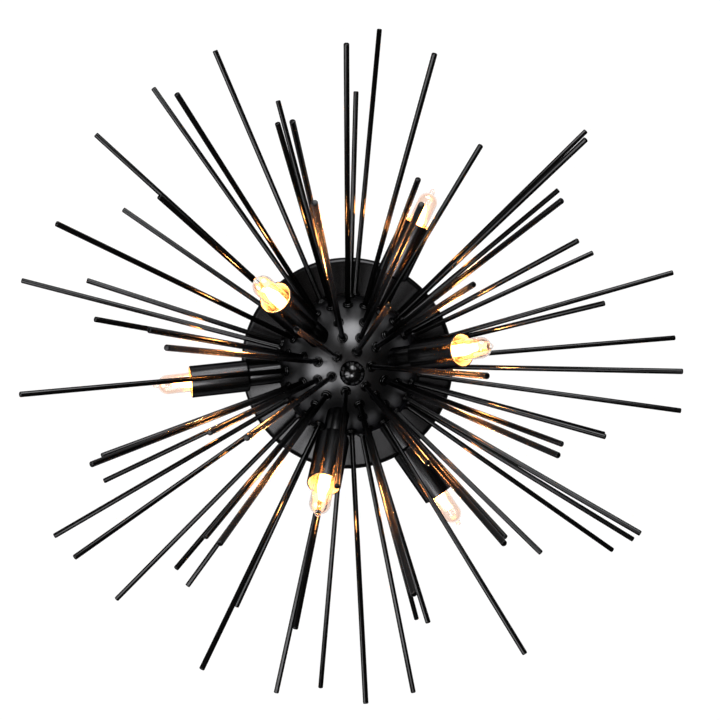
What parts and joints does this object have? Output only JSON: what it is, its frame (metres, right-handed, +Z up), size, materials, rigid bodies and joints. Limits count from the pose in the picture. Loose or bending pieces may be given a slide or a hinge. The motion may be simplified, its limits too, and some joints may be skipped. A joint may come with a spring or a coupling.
{
  "type": "flush mount ceiling light",
  "caption": "Burst ceiling light: half-ball hub on a round canopy, straight rods in rows, small cup lamps with clear pin-base bulbs, and a ball nut on the central stem.",
  "frame": {"origin": "on the ceiling plane, at the middle of the mounting crossbar's top face", "axes": "+Z up into the ceiling along the threaded stem, +X along the crossbar; the light hangs below"},
  "size_m": [0.5983, 0.6072, 0.3229],
  "materials": {
    "satin_black": "satin black powder coat",
    "gloss_black": "gloss black lacquer",
    "zinc_steel": "zinc plated steel",
    "white_ceramic": "white glazed ceramic",
    "clear_glass": "clear glass",
    "lit_core": "lit warm white core with nickel pins",
    "orange_plastic": "moulded orange plastic",
    "lead_sleeve": "silicone and glass-fibre sleeve",
    "green_screw": "green ground screw"
  },
  "bodies": {
    "fixture": {"belt_rods_long": "satin_black", "belt_rods_short": "satin_black", "canopy": "satin_black", "canopy_screws": "zinc_steel", "equator_rods_long": "satin_black", "equator_rods_short": "satin_black", "ground_screw": "green_screw", "hub_dome": "satin_black", "inner_rods_long": "satin_black", "inner_rods_short": "satin_black", "lamp_1_cup": "satin_black", "lamp_1_neck": "satin_black", "lamp_1_socket": "white_ceramic", "lamp_2_cup": "satin_black", "lamp_2_neck": "satin_black", "lamp_2_socket": "white_ceramic", "lamp_3_cup": "satin_black", "lamp_3_neck": "satin_black", "lamp_3_socket": "white_ceramic", "lamp_4_cup": "satin_black", "lamp_4_neck": "satin_black", "lamp_4_socket": "white_ceramic", "lamp_5_cup": "satin_black", "lamp_5_neck": "satin_black", "lamp_5_socket": "white_ceramic", "lamp_6_cup": "satin_black", "lamp_6_neck": "satin_black", "lamp_6_socket": "white_ceramic", "lamp_cup_nuts": "zinc_steel", "lamp_hub_nuts": "zinc_steel", "lamp_leads": "lead_sleeve", "lamp_nipples": "zinc_steel", "lower_rods_long": "satin_black", "lower_rods_short": "satin_black", "middle_rods_long": "satin_black", "middle_rods_short": "satin_black", "mounting_crossbar": "zinc_steel", "pole_rods_long": "satin_black", "pole_rods_short": "satin_black", "rod_collars": "satin_black", "rod_nuts": "zinc_steel", "stem_lock_nut": "zinc_steel", "threaded_stem": "zinc_steel", "wire_connectors": "orange_plastic"},
    "bulb_1": {"lamp_1_bulb_glass": "clear_glass", "lamp_1_bulb_core": "lit_core"},
    "bulb_2": {"lamp_2_bulb_glass": "clear_glass", "lamp_2_bulb_core": "lit_core"},
    "bulb_3": {"lamp_3_bulb_glass": "clear_glass", "lamp_3_bulb_core": "lit_core"},
    "bulb_4": {"lamp_4_bulb_glass": "clear_glass", "lamp_4_bulb_core": "lit_core"},
    "bulb_5": {"lamp_5_bulb_glass": "clear_glass", "lamp_5_bulb_core": "lit_core"},
    "bulb_6": {"lamp_6_bulb_glass": "clear_glass", "lamp_6_bulb_core": "lit_core"},
    "finial_washer": {"finial_washer": "gloss_black"},
    "finial": {"ball_finial": "gloss_black"}
  },
  "joints": [
    {"name": "bulb_1_pull", "type": "slide", "parent": "fixture", "child": "bulb_1", "axis": [0.4046, -0.8961, -0.1822], "range_m": [0, 0.012]},
    {"name": "bulb_2_pull", "type": "slide", "parent": "fixture", "child": "bulb_2", "axis": [-0.9784, 0.0977, -0.1822], "range_m": [0, 0.012]},
    {"name": "bulb_3_pull", "type": "slide", "parent": "fixture", "child": "bulb_3", "axis": [0.5738, 0.7985, -0.1822], "range_m": [0, 0.012]},
    {"name": "bulb_4_pull", "type": "slide", "parent": "fixture", "child": "bulb_4", "axis": [0.6144, -0.1646, -0.7716], "range_m": [0, 0.012]},
    {"name": "bulb_5_pull", "type": "slide", "parent": "fixture", "child": "bulb_5", "axis": [-0.4498, -0.4498, -0.7716], "range_m": [0, 0.012]},
    {"name": "bulb_6_pull", "type": "slide", "parent": "fixture", "child": "bulb_6", "axis": [-0.1646, 0.6144, -0.7716], "range_m": [0, 0.012]},
    {"name": "finial_drop", "type": "slide", "parent": "fixture", "child": "finial_washer", "axis": [0, 0, -1], "range_m": [0, 0.0101]},
    {"name": "finial_turn", "type": "hinge", "parent": "finial_washer", "child": "finial", "pos_m": [0, 0, -0.1062], "axis": [0, 0, -1], "range_deg": [0, 2880]}
  ],
  "couplings": [
    {"joint": "finial_drop", "follows": "finial_turn", "m_per_rad": 0.00019894}
  ]
}
